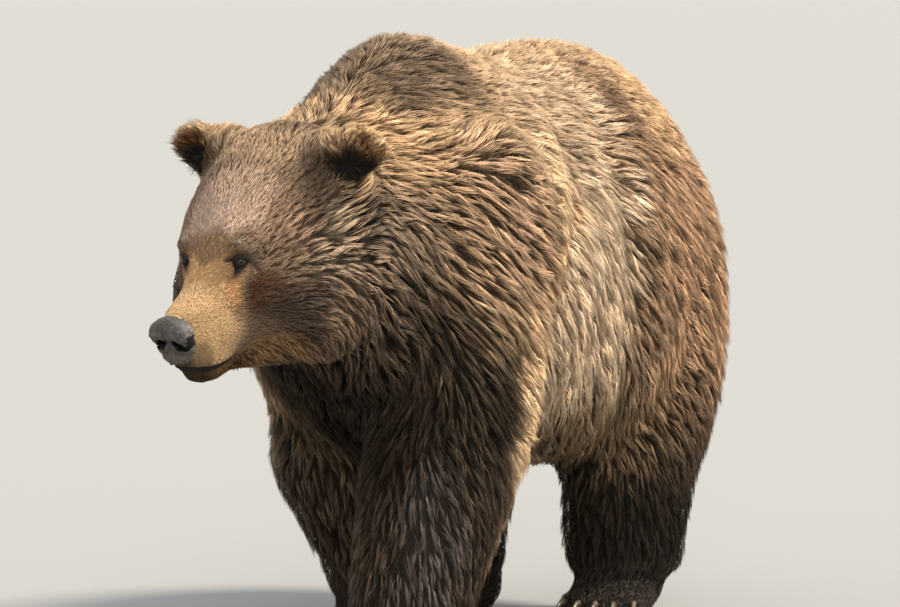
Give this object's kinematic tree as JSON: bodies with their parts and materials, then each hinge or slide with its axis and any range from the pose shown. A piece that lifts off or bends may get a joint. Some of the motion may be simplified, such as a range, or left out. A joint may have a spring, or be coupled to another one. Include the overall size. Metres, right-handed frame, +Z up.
{
  "type": "brown bear",
  "caption": "Life-size brown bear standing still in mid-walk, with a shoulder hump, a shaggy brown coat, rounded ears and long claws, head turned a little to its right.",
  "frame": {"origin": "on the ground, under the middle of the bear's bounding box", "axes": "+Y runs from nose to tail along the body, +X to the bear's left side, +Z up"},
  "size_m": [0.611, 1.7894, 1.0576],
  "materials": {
    "coat": "shaggy fur, dark brown with tan tips",
    "nose_skin": "pebbled bare skin, slightly moist",
    "eye": "wet and glossy dark brown",
    "claw": "worn horn, slightly glossy"
  },
  "bodies": {
    "root": {"head": "coat", "lower_jaw": "coat", "ear_left": "coat", "ear_right": "coat", "neck": "coat", "trunk": "coat", "tail": "coat", "upper_arm_left": "coat", "upper_arm_right": "coat", "forearm_left": "coat", "forearm_right": "coat", "front_paw_left": "coat", "front_paw_right": "coat", "thigh_left": "coat", "thigh_right": "coat", "shank_left": "coat", "shank_right": "coat", "hind_paw_left": "coat", "hind_paw_right": "coat", "nose": "nose_skin", "eye_left": "eye", "eye_right": "eye", "claw_front_left_1": "claw", "claw_front_left_2": "claw", "claw_front_left_3": "claw", "claw_front_left_4": "claw", "claw_front_left_5": "claw", "claw_front_right_1": "claw", "claw_front_right_2": "claw", "claw_front_right_3": "claw", "claw_front_right_4": "claw", "claw_front_right_5": "claw", "claw_hind_left_1": "claw", "claw_hind_left_2": "claw", "claw_hind_left_3": "claw", "claw_hind_left_4": "claw", "claw_hind_left_5": "claw", "claw_hind_right_1": "claw", "claw_hind_right_2": "claw", "claw_hind_right_3": "claw", "claw_hind_right_4": "claw", "claw_hind_right_5": "claw"}
  },
  "joints": []
}
